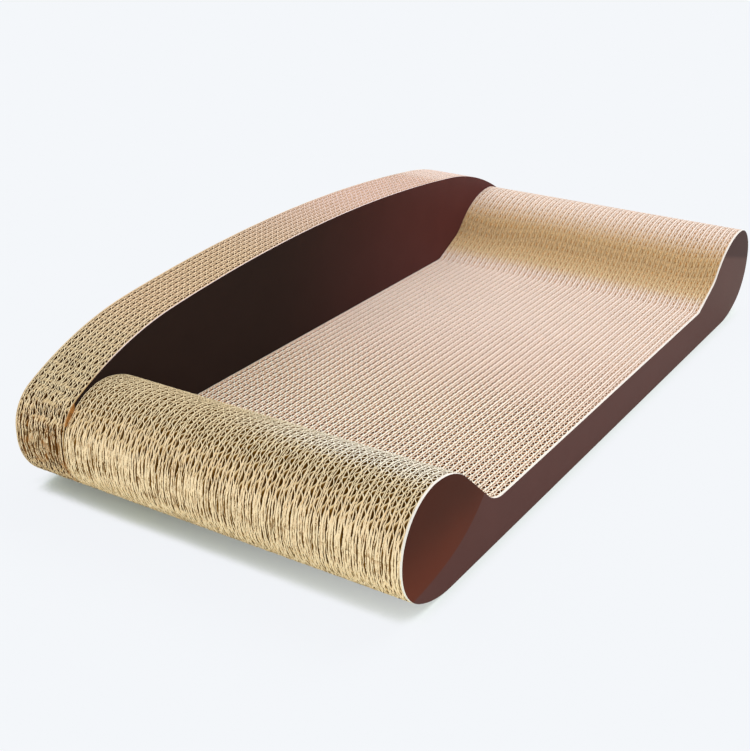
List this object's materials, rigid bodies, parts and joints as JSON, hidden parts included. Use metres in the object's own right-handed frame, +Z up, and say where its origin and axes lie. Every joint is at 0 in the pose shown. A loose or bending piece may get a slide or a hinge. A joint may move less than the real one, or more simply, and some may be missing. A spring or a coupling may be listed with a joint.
{
  "type": "cat scratcher",
  "caption": "Cat scratching lounge of die-cut corrugated boards glued face to face: round arm, flat seat, raised arm, arched backrest and printed card covers.",
  "frame": {"origin": "bottom centre of the whole object, on the surface that it stands on", "axes": "+X along the length from the round arm to the raised arm, +Y across the boards from the printed front panel to the backrest, +Z up"},
  "size_m": [0.59, 0.2832, 0.114],
  "materials": {
    "corrugated_board": "matte",
    "printed_card": "satin"
  },
  "bodies": {
    "root": {"front_cover_panel": "printed_card", "backrest_inner_cover": "printed_card", "backrest_outer_cover": "printed_card", "seat_board_01": "corrugated_board", "seat_board_02": "corrugated_board", "seat_board_03": "corrugated_board", "seat_board_04": "corrugated_board", "seat_board_05": "corrugated_board", "seat_board_06": "corrugated_board", "seat_board_07": "corrugated_board", "seat_board_08": "corrugated_board", "seat_board_09": "corrugated_board", "seat_board_10": "corrugated_board", "seat_board_11": "corrugated_board", "seat_board_12": "corrugated_board", "seat_board_13": "corrugated_board", "seat_board_14": "corrugated_board", "seat_board_15": "corrugated_board", "seat_board_16": "corrugated_board", "seat_board_17": "corrugated_board", "seat_board_18": "corrugated_board", "seat_board_19": "corrugated_board", "seat_board_20": "corrugated_board", "seat_board_21": "corrugated_board", "seat_board_22": "corrugated_board", "seat_board_23": "corrugated_board", "seat_board_24": "corrugated_board", "seat_board_25": "corrugated_board", "seat_board_26": "corrugated_board", "seat_board_27": "corrugated_board", "seat_board_28": "corrugated_board", "seat_board_29": "corrugated_board", "seat_board_30": "corrugated_board", "seat_board_31": "corrugated_board", "seat_board_32": "corrugated_board", "seat_board_33": "corrugated_board", "seat_board_34": "corrugated_board", "seat_board_35": "corrugated_board", "seat_board_36": "corrugated_board", "seat_board_37": "corrugated_board", "seat_board_38": "corrugated_board", "seat_board_39": "corrugated_board", "seat_board_40": "corrugated_board", "seat_board_41": "corrugated_board", "seat_board_42": "corrugated_board", "seat_board_43": "corrugated_board", "seat_board_44": "corrugated_board", "seat_board_45": "corrugated_board", "seat_board_46": "corrugated_board", "seat_board_47": "corrugated_board", "seat_board_48": "corrugated_board", "back_board_01": "corrugated_board", "back_board_02": "corrugated_board", "back_board_03": "corrugated_board", "back_board_04": "corrugated_board", "back_board_05": "corrugated_board", "back_board_06": "corrugated_board", "back_board_07": "corrugated_board", "back_board_08": "corrugated_board"}
  },
  "joints": []
}
